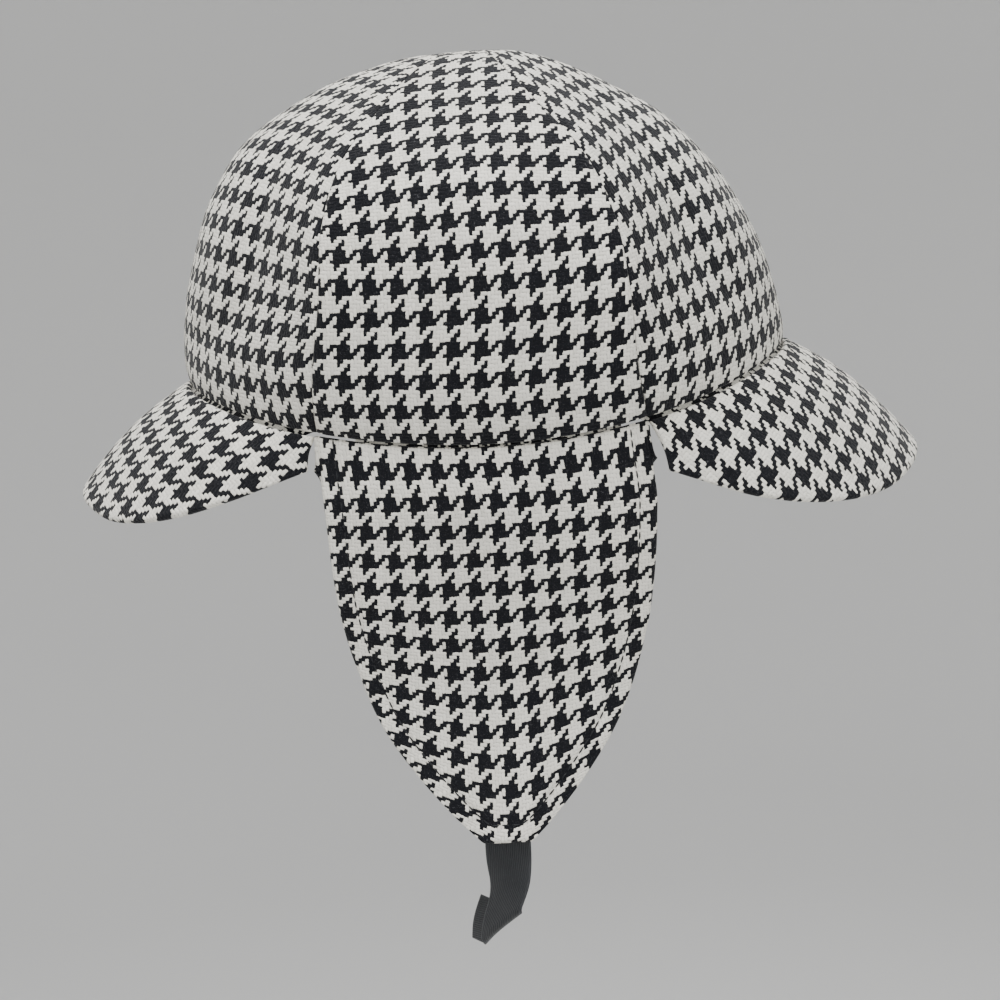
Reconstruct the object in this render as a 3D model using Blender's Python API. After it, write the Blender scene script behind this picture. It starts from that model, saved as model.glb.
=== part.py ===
"""A deerstalker hat: a six-panel crown, a peak before and behind, two ear flaps and their ribbon ties.

Metres, +Z up. The front peak points to -Y and the wearer's left is +X. The origin is the middle of the
head opening, level with the crown's lower edge. Each piece is one closed slab of cloth.
"""

import math
from typing import NamedTuple

import bmesh
import bpy
from mathutils import Vector

# Cloth and making
CROWN_WALL = 0.0022
PEAK_THICKNESS = 0.0032
FLAP_THICKNESS = 0.0030
RIBBON_THICKNESS = 0.0010
SEAM_GAP = 0.0003
MERGE_DISTANCE = 0.00002
PROBE = 0.001

# Crown: a turn goes round the head from the left ear towards the back
QUARTER_TURN = math.radians(90)
HALF_TURN = math.radians(180)
RIM_FRONT_LEVEL = -0.0024
RIM_REAR_LEVEL = 0.0026
PANEL_COLUMNS = 10
PANEL_ROWS = 16


class CrownRow(NamedTuple):
    """One level ring of the crown, measured on the outside of the cloth."""

    along: float  # share of the way up the cloth, from the lower edge to the top
    rise: float
    half_length: float
    half_width: float
    set_back: float  # how far the ring's middle lies behind the origin
    side_drop: float  # how much lower the ring is above the ears
    corner: float  # how far the side seams stand out beyond the oval
    swell: float  # how far the front and rear gores do so between their seams
    front_seam: float  # turn of the seam before the ear, in degrees
    rear_seam: float  # turn of the seam behind the ear, in degrees


CROWN_ROWS = (
    CrownRow(0.00, 0.0000, 0.1045, 0.0812, 0.0000, 0.0214, 0.0060, 0.0030, -31.7, 28.6),
    CrownRow(0.13, 0.0177, 0.1027, 0.0867, -0.0012, 0.0197, 0.0085, -0.0014, -30.9, 27.9),
    CrownRow(0.29, 0.0393, 0.0965, 0.0883, -0.0027, 0.0175, 0.0108, -0.0063, -29.4, 29.6),
    CrownRow(0.45, 0.0609, 0.0865, 0.0853, -0.0048, 0.0150, 0.0110, -0.0070, -29.6, 31.9),
    CrownRow(0.61, 0.0796, 0.0710, 0.0748, -0.0068, 0.0126, 0.0096, -0.0046, -28.0, 32.4),
    CrownRow(0.77, 0.0946, 0.0467, 0.0512, -0.0066, 0.0072, 0.0063, -0.0022, -24.8, 29.5),
    CrownRow(0.90, 0.1029, 0.0238, 0.0263, -0.0040, 0.0021, 0.0029, -0.0009, -24.2, 27.5),
    CrownRow(0.96, 0.1047, 0.0095, 0.0105, -0.0004, 0.0004, 0.0012, -0.0004, -24.2, 27.5),
    CrownRow(1.00, 0.1051, 0.0000, 0.0000, 0.0018, 0.0000, 0.0000, 0.0000, -24.2, 27.5),
)


class PeakRow(NamedTuple):
    """One point on the edge of a peak."""

    share: float  # of the way round from the centre line to the flap
    aside: float  # from the centre line
    ahead: float  # of the middle of the head opening
    level: float


# The first row of each peak mirrors the third, so that the two halves run on smoothly.
FRONT_PEAK_ROWS = (
    PeakRow(-0.2, -0.0232, 0.1407, -0.0407),
    PeakRow(0.0, 0.0000, 0.1446, -0.0384),
    PeakRow(0.2, 0.0232, 0.1407, -0.0407),
    PeakRow(0.4, 0.0441, 0.1278, -0.0444),
    PeakRow(0.6, 0.0607, 0.1083, -0.0425),
    PeakRow(0.8, 0.0713, 0.0842, -0.0359),
    PeakRow(1.0, 0.0750, 0.0580, -0.0275),
)
REAR_PEAK_ROWS = (
    PeakRow(-0.2, -0.0246, 0.1460, -0.0398),
    PeakRow(0.0, 0.0000, 0.1502, -0.0362),
    PeakRow(0.2, 0.0246, 0.1460, -0.0398),
    PeakRow(0.4, 0.0467, 0.1322, -0.0455),
    PeakRow(0.6, 0.0643, 0.1112, -0.0465),
    PeakRow(0.8, 0.0756, 0.0846, -0.0420),
    PeakRow(1.0, 0.0790, 0.0560, -0.0322),
)
PEAK_ARCH = 0.055  # how high the cloth arches between the crown and the edge, as a share of that run
PEAK_END_CLEARANCE = math.radians(0.45)
PEAK_COLUMNS = 32
PEAK_ROWS = 6


class FlapRow(NamedTuple):
    """One level across an ear flap."""

    drop: float  # below the flap's top line
    half_width: float
    stand_out: float  # from the middle of the head to the outside of the cloth
    bow: float  # how much nearer the head the two edges are than the middle


FLAP_TOP_LEVEL = -0.0220
FLAP_SET_FORWARD = 0.0006
FLAP_TUCK = 0.0014  # how far the flap's top lies inside the crown's outer face
FLAP_BLEND = 0.16  # share of the flap over which it leaves the crown's curve
FLAP_COLUMNS = 12
FLAP_GRID_ROWS = 16
FLAP_ROWS = (
    FlapRow(0.0000, 0.0527, 0.0800, 0.0064),
    FlapRow(0.0130, 0.0532, 0.0812, 0.0062),
    FlapRow(0.0380, 0.0520, 0.0776, 0.0056),
    FlapRow(0.0580, 0.0497, 0.0728, 0.0046),
    FlapRow(0.0780, 0.0445, 0.0702, 0.0036),
    FlapRow(0.0930, 0.0381, 0.0706, 0.0027),
    FlapRow(0.1070, 0.0288, 0.0724, 0.0018),
    FlapRow(0.1210, 0.0172, 0.0744, 0.0009),
    FlapRow(0.1303, 0.0078, 0.0755, 0.0004),
)

# Ties: a ribbon sewn on behind the flap's tip, turned on its way down and folded over at a slant
TIE_WIDTH = 0.0150
TIE_LENGTH = 0.0560
TIE_OVERLAP = 0.0080
TIE_FOLD_RUN = 0.0360  # along the ribbon's middle, from its sewn end to the slanted fold
TIE_FOLD_RADIUS = 0.0016
TIE_FOLD_ANGLE = math.radians(172)
TIE_FOLD_SLANT = math.sqrt(0.5)
TIE_TURN = math.radians(47)
TIE_TURN_RUN = 0.0240
TIE_SWAY = 0.0052
TIE_COLUMNS = 8
TIE_ROWS = 30

CLOTH_COLOUR = (0.40, 0.40, 0.39, 1)
CLOTH_ROUGHNESS = 0.95
RIBBON_COLOUR = (0.012, 0.013, 0.017, 1)
RIBBON_ROUGHNESS = 0.6


def clear_scene():
    """Removes whatever objects the scene already holds."""
    for obj in list(bpy.data.objects):
        bpy.data.objects.remove(obj, do_unlink=True)


def smooth_step(value):
    """Eases from 0 to 1."""
    share = min(max(value, 0.0), 1.0)
    return share * share * (3 - 2 * share)


def row_slope(rows, column, index):
    """The column's rate of change at one row, from the rows on both sides."""
    before = rows[max(index - 1, 0)]
    after = rows[min(index + 1, len(rows) - 1)]
    return (getattr(after, column) - getattr(before, column)) / (after[0] - before[0])


def read_rows(rows, column, at):
    """A smooth reading of one column; the first column of the rows says where each one lies."""
    index = 0
    while index < len(rows) - 2 and at > rows[index + 1][0]:
        index += 1
    low, high = rows[index], rows[index + 1]
    span = high[0] - low[0]
    share = (at - low[0]) / span
    low_slope = row_slope(rows, column, index) * span
    high_slope = row_slope(rows, column, index + 1) * span
    square, cube = share * share, share**3
    return (
        (2 * cube - 3 * square + 1) * getattr(low, column)
        + (cube - 2 * square + share) * low_slope
        + (3 * square - 2 * cube) * getattr(high, column)
        + (cube - square) * high_slope
    )


def side_seam(heading, along=0.0):
    """The turn of the side seam before the left ear (heading -1) or behind it (+1)."""
    column = "rear_seam" if heading > 0 else "front_seam"
    return math.radians(read_rows(CROWN_ROWS, column, along))


def beyond_oval(turn, along):
    """How much further aside than an oval the crown stands, because its gores meet at corners."""
    from_ear = math.asin(math.sin(turn))
    seam = abs(side_seam(from_ear, along))
    corner = read_rows(CROWN_ROWS, "corner", along)
    if abs(from_ear) < seam:
        return corner * (from_ear / seam) ** 2
    share = (QUARTER_TURN - abs(from_ear)) / (QUARTER_TURN - seam)
    swell = read_rows(CROWN_ROWS, "swell", along)
    return corner * share**2 + swell * math.sin(math.pi * share)


def crown_point(turn, along):
    """The outside of the crown."""
    half_width = read_rows(CROWN_ROWS, "half_width", along)
    half_length = read_rows(CROWN_ROWS, "half_length", along)
    set_back = read_rows(CROWN_ROWS, "set_back", along)
    rise = read_rows(CROWN_ROWS, "rise", along)
    side_drop = read_rows(CROWN_ROWS, "side_drop", along)
    aside, astern = math.cos(turn), math.sin(turn)
    rim_level = RIM_REAR_LEVEL if astern > 0 else RIM_FRONT_LEVEL
    level = rise - side_drop * aside**2 + rim_level * (1 - along) * astern**2
    beyond = math.copysign(beyond_oval(turn, along), aside)
    return Vector((half_width * aside + beyond, set_back + half_length * astern, level))


def crown_normal(turn, along):
    """Straight out of the crown, and midway between two gores at their seam."""
    if along > 1 - PROBE:
        return Vector((0, 0, 1))
    low = max(along - PROBE, 0.0)
    across = crown_point(turn + PROBE, along) - crown_point(turn - PROBE, along)
    upward = crown_point(turn, along + PROBE) - crown_point(turn, low)
    return across.cross(upward).normalized()


def rim_outward(turn):
    """Level and square to the crown's lower edge."""
    across = crown_point(turn + PROBE, 0) - crown_point(turn - PROBE, 0)
    return Vector((across.y, -across.x, 0)).normalized()


def surface_normal(place, across, along):
    """Square to the sheet that place lays out, by small steps on it."""
    left, right = max(across - PROBE, 0), min(across + PROBE, 1)
    low, high = max(along - PROBE, 0), min(along + PROBE, 1)
    sideways = place(right, along) - place(left, along)
    lengthways = place(across, high) - place(across, low)
    return sideways.cross(lengthways).normalized()


def slab(name, columns, rows, place):
    """A closed slab: a unit grid with a back face, laid out by place(across, along, depth).

    Depth is 0 on the outside of the cloth and 1 on the inside.
    """
    bm = bmesh.new()
    bmesh.ops.create_grid(bm, x_segments=columns, y_segments=rows, size=0.5)
    back = bmesh.ops.extrude_face_region(bm, geom=bm.faces[:], use_keep_orig=True)
    back_verts = [item for item in back["geom"] if isinstance(item, bmesh.types.BMVert)]
    bmesh.ops.translate(bm, verts=back_verts, vec=(0, 0, 1))
    for vert in bm.verts:
        vert.co = place(vert.co.x + 0.5, vert.co.y + 0.5, vert.co.z)
    bmesh.ops.remove_doubles(bm, verts=bm.verts[:], dist=MERGE_DISTANCE)
    bmesh.ops.recalc_face_normals(bm, faces=bm.faces[:])
    mesh = bpy.data.meshes.new(name)
    bm.to_mesh(mesh)
    bm.free()
    mesh.shade_smooth()
    mesh.set_sharp_from_angle(angle=math.radians(50))
    obj = bpy.data.objects.new(name, mesh)
    bpy.context.scene.collection.objects.link(obj)
    return obj


def finish(obj, colour, roughness):
    """Gives a piece its own plain material."""
    material = bpy.data.materials.new(obj.name + "_material")
    material.use_nodes = True
    shader = material.node_tree.nodes["Principled BSDF"]
    shader.inputs["Base Color"].default_value = colour
    shader.inputs["Roughness"].default_value = roughness
    shader.inputs["Metallic"].default_value = 0
    obj.data.materials.append(material)


def front_centre(along):
    """The turn of the front centre seam."""
    return -QUARTER_TURN


def rear_centre(along):
    """The turn of the rear centre seam."""
    return QUARTER_TURN


def seam_before_ear(along):
    """The turn of the seam before the left ear."""
    return side_seam(-1, along)


def seam_behind_ear(along):
    """The turn of the seam behind the left ear."""
    return side_seam(1, along)


def crown_panel(name, side, seam_a, seam_b):
    """One gore between two seams, moved out a hair along its own middle to open the seams.

    The seams are those of the left half. Side is -1 for the same gore on the right.
    """
    outward = crown_point((seam_a(0) + seam_b(0)) / 2, 0)
    shift = Vector((outward.x, outward.y, 0)).normalized() * SEAM_GAP

    def place(across, along, depth):
        turn = seam_a(along) + (seam_b(along) - seam_a(along)) * across
        outwards = crown_normal(turn, along)
        point = crown_point(turn, along) + shift - outwards * CROWN_WALL * depth
        return Vector((side * point.x, point.y, point.z))

    panel = slab(name, PANEL_COLUMNS, PANEL_ROWS, place)
    finish(panel, CLOTH_COLOUR, CLOTH_ROUGHNESS)


def crown():
    """The six gores, named from the wearer's side."""
    for suffix, side in (("left", 1), ("right", -1)):
        crown_panel("crown_panel_" + suffix, side, seam_before_ear, seam_behind_ear)
        crown_panel("crown_panel_rear_" + suffix, side, seam_behind_ear, rear_centre)
        crown_panel("crown_panel_front_" + suffix, side, front_centre, seam_before_ear)


def peak(name, heading, rows):
    """One padded peak, which starts under the crown's edge and arches down to its own edge.

    Heading is +1 for the rear peak and -1 for the front one.
    """
    first = side_seam(heading) + heading * PEAK_END_CLEARANCE
    last = heading * HALF_TURN - first

    def surface(across, along):
        root = crown_point(first + (last - first) * across, 0)
        root.z -= SEAM_GAP
        share = abs(2 * across - 1)
        aside = math.copysign(read_rows(rows, "aside", share), 0.5 - across)
        ahead = heading * read_rows(rows, "ahead", share)
        run = Vector((aside, ahead, read_rows(rows, "level", share))) - root
        level_run = math.hypot(run.x, run.y)
        upwards = Vector((-run.z * run.x, -run.z * run.y, level_run**2)) / level_run
        return root + run * along + upwards * PEAK_ARCH * math.sin(math.pi * along)

    def place(across, along, depth):
        outwards = surface_normal(surface, across, along) * -heading
        return surface(across, along) - outwards * PEAK_THICKNESS * depth

    made = slab(name, PEAK_COLUMNS, PEAK_ROWS, place)
    finish(made, CLOTH_COLOUR, CLOTH_ROUGHNESS)


def flap_surface(side, across, along):
    """The outside of an ear flap; across goes from its front edge to its rear one."""
    turn = side_seam(-1) + (side_seam(1) - side_seam(-1)) * across
    drop = FLAP_ROWS[-1].drop * along
    half_width = read_rows(FLAP_ROWS, "half_width", drop)
    stand_out = read_rows(FLAP_ROWS, "stand_out", drop)
    bow = read_rows(FLAP_ROWS, "bow", drop)
    from_middle = 2 * across - 1
    hanging = Vector((
        stand_out - bow * from_middle**2,
        half_width * from_middle - FLAP_SET_FORWARD,
        FLAP_TOP_LEVEL - drop,
    ))
    root = crown_point(turn, 0) - rim_outward(turn) * FLAP_TUCK
    root.z -= SEAM_GAP + drop
    point = root.lerp(hanging, smooth_step(along / FLAP_BLEND))
    return Vector((side * point.x, point.y, point.z))


def ear_flap(name, side):
    """One ear flap, as a padded cloth slab that hangs from under the side gore."""

    def surface(across, along):
        return flap_surface(side, across, along)

    def place(across, along, depth):
        outwards = surface_normal(surface, across, along) * -side
        return surface(across, along) - outwards * FLAP_THICKNESS * depth

    made = slab(name, FLAP_COLUMNS, FLAP_GRID_ROWS, place)
    finish(made, CLOTH_COLOUR, CLOTH_ROUGHNESS)


def folded(aside, run):
    """A flat ribbon point taken over the slanted fold: its new place aside and along, and how far behind."""
    past = (aside + run - TIE_FOLD_RUN) * TIE_FOLD_SLANT
    if past <= 0:
        return aside, run, 0.0
    bent = min(past / TIE_FOLD_RADIUS, TIE_FOLD_ANGLE)
    rest = past - bent * TIE_FOLD_RADIUS
    forward = TIE_FOLD_RADIUS * math.sin(bent) + rest * math.cos(bent)
    behind = TIE_FOLD_RADIUS * (1 - math.cos(bent)) + rest * math.sin(bent)
    shift = (forward - past) * TIE_FOLD_SLANT
    return aside + shift, run + shift, behind


def tie_surface(side, across, along):
    """The middle of a tie's thickness."""
    flat_aside = (across - 0.5) * TIE_WIDTH
    aside, run, behind = folded(flat_aside, along * TIE_LENGTH)
    below_tip = run - TIE_OVERLAP
    turn = TIE_TURN * smooth_step(below_tip / TIE_TURN_RUN)
    sway = TIE_SWAY * smooth_step((below_tip - TIE_TURN_RUN / 2) / TIE_TURN_RUN)
    tip = FLAP_ROWS[-1]
    beside = read_rows(FLAP_ROWS, "stand_out", tip.drop + min(below_tip, 0))
    hang = beside - tip.bow - FLAP_THICKNESS - SEAM_GAP - RIBBON_THICKNESS / 2
    return Vector((
        side * (hang + aside * math.sin(turn) - behind * math.cos(turn)),
        aside * math.cos(turn) + behind * math.sin(turn) - FLAP_SET_FORWARD - sway,
        FLAP_TOP_LEVEL - tip.drop - below_tip,
    ))


def tie(name, side):
    """One ribbon tie at a flap's tip."""

    def surface(across, along):
        return tie_surface(side, across, along)

    def place(across, along, depth):
        outwards = surface_normal(surface, across, along) * -side
        return surface(across, along) + outwards * RIBBON_THICKNESS * (0.5 - depth)

    made = slab(name, TIE_COLUMNS, TIE_ROWS, place)
    finish(made, RIBBON_COLOUR, RIBBON_ROUGHNESS)


def main():
    """Builds the hat."""
    clear_scene()
    crown()
    peak("peak_front", -1, FRONT_PEAK_ROWS)
    peak("peak_rear", 1, REAR_PEAK_ROWS)
    for suffix, side in (("left", 1), ("right", -1)):
        ear_flap("ear_flap_" + suffix, side)
        tie("tie_" + suffix, side)


main()
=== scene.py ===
"""The looks of a deerstalker hat in houndstooth wool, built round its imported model.

Metres, +Z up. The front peak points to -Y and the wearer's left is +X. The origin is the middle of the
head opening, level with the crown's lower edge. Every piece of cloth is a closed slab with rounded
edges and carries a UV map that says how the woven pattern lies on it, counted in pattern repeats.
"""

import functools
import logging
import math
from collections.abc import Callable
from dataclasses import dataclass, field
from enum import Enum
from typing import NamedTuple

import bmesh
import bpy
from mathutils import Matrix, Vector, noise


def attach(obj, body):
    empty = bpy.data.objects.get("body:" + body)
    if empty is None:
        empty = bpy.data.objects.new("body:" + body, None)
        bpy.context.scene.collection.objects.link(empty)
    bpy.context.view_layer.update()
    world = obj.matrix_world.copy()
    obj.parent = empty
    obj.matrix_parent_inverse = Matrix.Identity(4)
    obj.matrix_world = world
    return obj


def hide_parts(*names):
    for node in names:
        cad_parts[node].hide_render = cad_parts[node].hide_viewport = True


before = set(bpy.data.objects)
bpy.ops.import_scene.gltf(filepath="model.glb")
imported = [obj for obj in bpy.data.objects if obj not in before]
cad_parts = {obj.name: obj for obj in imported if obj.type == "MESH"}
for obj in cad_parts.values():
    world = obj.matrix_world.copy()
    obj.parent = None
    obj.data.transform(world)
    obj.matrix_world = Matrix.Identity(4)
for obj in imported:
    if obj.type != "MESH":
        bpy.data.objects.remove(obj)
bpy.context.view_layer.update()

WEAVE_MAP = "weave"
MERGE_DISTANCE = 0.00002
PROBE = 0.001
QUARTER_TURN = math.pi / 2
HALF_TURN = math.pi
MM = 0.001
LIE_UNIT = 0.1
BODY = "root"
UNEVEN_FINE_SIZE = 0.38
UNEVEN_FINE_HEIGHT = 0.35
UNEVEN_FINE_SHIFT = Vector((7.3, 2.9, 4.1))
STITCH_PATH_STEPS = 90

Place = Callable[[float, float], Vector]
Spread = Callable[[float, float], tuple[float, float]]
Shape = Callable[[float, float], float]
SeamLine = Callable[[float], float]
Colour = tuple[float, float, float, float]

log = logging.getLogger("hat")


class Side(Enum):
    """The wearer's left or right; the value is the sign of X there."""

    LEFT = 1
    RIGHT = -1


class End(Enum):
    """The front or the rear of the hat; the value is the sign of Y there."""

    FRONT = -1
    REAR = 1


def smooth_step(value: float) -> float:
    """Eases from 0 to 1."""
    share = min(max(value, 0.0), 1.0)
    return share * share * (3 - 2 * share)


def bell(distance: float, width: float) -> float:
    """Falls smoothly from 1 at no distance."""
    return math.exp(-((distance / width) ** 2))


def row_slope(rows: tuple, column: str, index: int) -> float:
    """The column's rate of change at one row, from the rows on both sides."""
    before = rows[max(index - 1, 0)]
    after = rows[min(index + 1, len(rows) - 1)]
    return (getattr(after, column) - getattr(before, column)) / (after[0] - before[0])


def read_rows(rows: tuple, column: str, at: float) -> float:
    """Reads one column of a table smoothly.

    Args:
        rows: The table. The first column says where each row lies.
        column: The name of the column to read.
        at: Where to read it.

    Returns:
        The column's value there.
    """
    index = 0
    while index < len(rows) - 2 and at > rows[index + 1][0]:
        index += 1
    low, high = rows[index], rows[index + 1]
    span = high[0] - low[0]
    share = (at - low[0]) / span
    low_slope = row_slope(rows, column, index) * span
    high_slope = row_slope(rows, column, index + 1) * span
    square, cube = share * share, share**3
    return (
        (2 * cube - 3 * square + 1) * getattr(low, column)
        + (cube - 2 * square + share) * low_slope
        + (3 * square - 2 * cube) * getattr(high, column)
        + (cube - square) * high_slope
    )


def surface_normal(surface: Place, across: float, along: float) -> Vector:
    """Square to a surface, by small steps on it."""
    left, right = max(across - PROBE, 0), min(across + PROBE, 1)
    low, high = max(along - PROBE, 0), min(along + PROBE, 1)
    sideways = surface(right, along) - surface(left, along)
    lengthways = surface(across, high) - surface(across, low)
    return sideways.cross(lengthways).normalized()


class CrownRow(NamedTuple):
    """One level ring of the crown, measured on the outside of the cloth. The seam turns are degrees."""

    along: float
    rise: float
    half_length: float
    half_width: float
    set_back: float
    side_drop: float
    corner: float
    swell: float
    front_seam: float
    rear_seam: float


@dataclass(frozen=True)
class CrownForm:
    """The outside of the crown: an oval dome with a corner at each side seam.

    A turn goes round from the left ear towards the back.
    """

    rows: tuple[CrownRow, ...] = (
        CrownRow(0.00, 0.0000, 0.1045, 0.0812, 0.0000, 0.0214, 0.0060, 0.0030, -31.7, 28.6),
        CrownRow(0.13, 0.0177, 0.1027, 0.0867, -0.0012, 0.0197, 0.0085, -0.0014, -30.9, 27.9),
        CrownRow(0.29, 0.0393, 0.0965, 0.0883, -0.0027, 0.0175, 0.0108, -0.0063, -29.4, 29.6),
        CrownRow(0.45, 0.0609, 0.0865, 0.0853, -0.0048, 0.0150, 0.0110, -0.0070, -29.6, 31.9),
        CrownRow(0.61, 0.0796, 0.0710, 0.0748, -0.0068, 0.0126, 0.0096, -0.0046, -28.0, 32.4),
        CrownRow(0.77, 0.0946, 0.0467, 0.0512, -0.0066, 0.0072, 0.0063, -0.0022, -24.8, 29.5),
        CrownRow(0.90, 0.1029, 0.0238, 0.0263, -0.0040, 0.0021, 0.0029, -0.0009, -24.2, 27.5),
        CrownRow(0.96, 0.1047, 0.0095, 0.0105, -0.0004, 0.0004, 0.0012, -0.0004, -24.2, 27.5),
        CrownRow(1.00, 0.1051, 0.0000, 0.0000, 0.0018, 0.0000, 0.0000, 0.0000, -24.2, 27.5),
    )
    rim_front_level: float = -0.0024
    rim_rear_level: float = 0.0026

    def ring(self, along: float) -> tuple[float, ...]:
        """The sizes of one ring, in the order of the table's columns after the first."""
        names = CrownRow._fields[1:]
        return tuple(read_rows(self.rows, name, along) for name in names)

    def side_seam(self, end: End, along: float = 0.0) -> float:
        """The turn of the seam before the left ear, or behind it."""
        front_seam, rear_seam = crown_ring(self, along)[-2:]
        return math.radians(rear_seam if end is End.REAR else front_seam)

    def beyond_oval(self, turn: float, along: float) -> float:
        """How much further aside than the oval the crown stands at one place."""
        corner, swell = crown_ring(self, along)[-4:-2]
        from_ear = math.asin(math.sin(turn))
        seam = abs(self.side_seam(End.REAR if from_ear > 0 else End.FRONT, along))
        if abs(from_ear) < seam:
            return corner * (from_ear / seam) ** 2
        share = (QUARTER_TURN - abs(from_ear)) / (QUARTER_TURN - seam)
        return corner * share**2 + swell * math.sin(math.pi * share)

    def point(self, turn: float, along: float) -> Vector:
        """A point on the outside of the crown."""
        rise, half_length, half_width, set_back, side_drop = crown_ring(self, along)[:5]
        aside, astern = math.cos(turn), math.sin(turn)
        rim_level = self.rim_rear_level if astern > 0 else self.rim_front_level
        level = rise - side_drop * aside**2 + rim_level * (1 - along) * astern**2
        beyond = math.copysign(self.beyond_oval(turn, along), aside)
        return Vector((half_width * aside + beyond, set_back + half_length * astern, level))

    def normal(self, turn: float, along: float) -> Vector:
        """Straight out of the crown, and midway between two gores at their seam."""
        if along > 1 - PROBE:
            return Vector((0, 0, 1))
        low = max(along - PROBE, 0.0)
        across = self.point(turn + PROBE, along) - self.point(turn - PROBE, along)
        upward = self.point(turn, along + PROBE) - self.point(turn, low)
        return across.cross(upward).normalized()

    def rim_outward(self, turn: float) -> Vector:
        """Level and square to the crown's lower edge."""
        across = self.point(turn + PROBE, 0) - self.point(turn - PROBE, 0)
        return Vector((across.y, -across.x, 0)).normalized()


@functools.lru_cache(maxsize=4096)
def crown_ring(form: CrownForm, along: float) -> tuple[float, ...]:
    """Keeps each ring's sizes once they have been read."""
    return form.ring(along)


class Tape:
    """Measures cloth laid over a surface: along its middle line, and across from that line."""

    def __init__(self, surface: Place, middle: float = 0.5, steps: int = 40) -> None:
        """Keeps the surface.

        Args:
            surface: The outside of the cloth, by shares across and along.
            middle: The share across where the middle line runs.
            steps: How finely a line is measured.
        """
        self.surface = surface
        self.middle = middle
        self.steps = steps
        self.lines: dict[float, list[float]] = {}
        self.middle_line = self.measure(lambda share: surface(middle, share))

    def measure(self, line: Callable[[float], Vector]) -> list[float]:
        """The running length of a line, one value for each step."""
        lengths = [0.0]
        before = line(0.0)
        for step in range(1, self.steps + 1):
            here = line(step / self.steps)
            lengths.append(lengths[-1] + (here - before).length)
            before = here
        return lengths

    def read(self, lengths: list[float], share: float) -> float:
        """A running length read between its steps."""
        place = share * self.steps
        index = min(max(int(place), 0), self.steps - 1)
        return lengths[index] + (lengths[index + 1] - lengths[index]) * (place - index)

    def line_across(self, along: float) -> list[float]:
        """The running length across the cloth at one height, measured once."""
        key = round(along, 6)
        if key not in self.lines:
            self.lines[key] = self.measure(lambda share: self.surface(share, along))
        return self.lines[key]

    def bend(self, along: float) -> float:
        """How fast a line across turns upwards in the flat cloth, because the piece narrows above it."""
        low, high = max(along - 1 / self.steps, 0.0), min(max(along, 0.0) + 1 / self.steps, 1.0)
        narrowing = self.line_across(low)[-1] - self.line_across(high)[-1]
        rise = self.read(self.middle_line, high) - self.read(self.middle_line, low)
        width = self.line_across(min(max(along, 0.0), 1.0))[-1]
        return narrowing / rise / max(width, MM)

    def area(self) -> float:
        """The cloth's flat area, in square metres."""
        strip = self.middle_line[-1] / self.steps
        return sum(self.line_across((step + 0.5) / self.steps)[-1] * strip for step in range(self.steps))

    def width(self) -> float:
        """The cloth's greatest width."""
        return max(self.line_across(step / self.steps)[-1] for step in range(self.steps + 1))

    def spread(self, across: float, along: float) -> tuple[float, float]:
        """How far a point lies across from the middle line and along it, in metres of flat cloth."""
        line = self.line_across(min(max(along, 0.0), 1.0))
        sideways = self.read(line, across) - self.read(line, self.middle)
        upward = self.read(self.middle_line, along)
        bend = self.bend(along)
        if abs(bend * sideways) < PROBE:
            return sideways, upward
        turned = bend * sideways
        return math.sin(turned) / bend, upward + (1 - math.cos(turned)) / bend


class FlatStrip:
    """Unrolls a strip between two edges into the plane, from its middle both ways."""

    def __init__(self, surface: Place, steps: int = 48) -> None:
        """Lays the strip flat.

        Args:
            surface: The outside of the cloth; along 0 is the inner edge and 1 the outer one.
            steps: How many slats the strip is unrolled in; an even number.
        """
        self.steps = steps
        middle = steps // 2
        root, edge = surface(0.5, 0), surface(0.5, 1)
        length = (edge - root).length
        self.roots: dict[int, Vector] = {middle: Vector((0, 0))}
        self.edges: dict[int, Vector] = {middle: Vector((0, -length))}
        for step in (1, -1):
            index = middle
            while 0 < index < steps if step == -1 else index < steps:
                self.lay_slat(surface, index, index + step)
                index += step

    def lay_slat(self, surface: Place, here: int, there: int) -> None:
        """Lays one slat, as two triangles, beside the last one."""
        points = [surface(index / self.steps, along) for index in (here, there) for along in (0, 1)]
        root, edge, next_root, next_edge = points
        way = 1 if there > here else -1
        self.roots[there] = self.third_corner(
            self.roots[here], self.edges[here], (next_root - root).length, (next_root - edge).length, way
        )
        self.edges[there] = self.third_corner(
            self.roots[there],
            self.edges[here],
            (next_edge - next_root).length,
            (next_edge - edge).length,
            way,
        )

    @staticmethod
    def third_corner(first: Vector, second: Vector, to_first: float, to_second: float, way: int) -> Vector:
        """The corner of a flat triangle at given distances from two others.

        Args:
            first: One corner.
            second: The other corner.
            to_first: The third corner's distance from the first.
            to_second: Its distance from the second.
            way: +1 where it lies to the right of the line from the second up to the first.

        Returns:
            The third corner.
        """
        line = second - first
        base = line.length
        forward = (to_first**2 - to_second**2 + base**2) / (2 * base)
        aside = math.sqrt(max(to_first**2 - forward**2, 0.0))
        square = Vector((-line.y, line.x)) / base * way
        return first + line / base * forward + square * aside

    def spread(self, across: float, along: float) -> tuple[float, float]:
        """Where a point of the strip lies in the plane."""
        place = across * self.steps
        index = min(max(int(place), 0), self.steps - 1)
        share = place - index
        root = self.roots[index].lerp(self.roots[index + 1], share)
        edge = self.edges[index].lerp(self.edges[index + 1], share)
        flat = root.lerp(edge, along)
        return flat.x, flat.y


@dataclass(frozen=True)
class Lie:
    """How one count of the pattern's repeats grows over the flat cloth, in tenths of a metre.

    The terms are for 1, across, along, across², across x along, along², and the four cubes in that order.
    """

    terms: tuple[float, ...]

    def count(self, spread: tuple[float, float]) -> float:
        """The repeats counted at one place on the cloth."""
        across, along = (distance / LIE_UNIT for distance in spread)
        powers = (
            1.0, across, along, across**2, across * along, along**2,
            across**3, across**2 * along, across * along**2, along**3,
        )
        return sum(term * power for term, power in zip(self.terms, powers))


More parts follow.
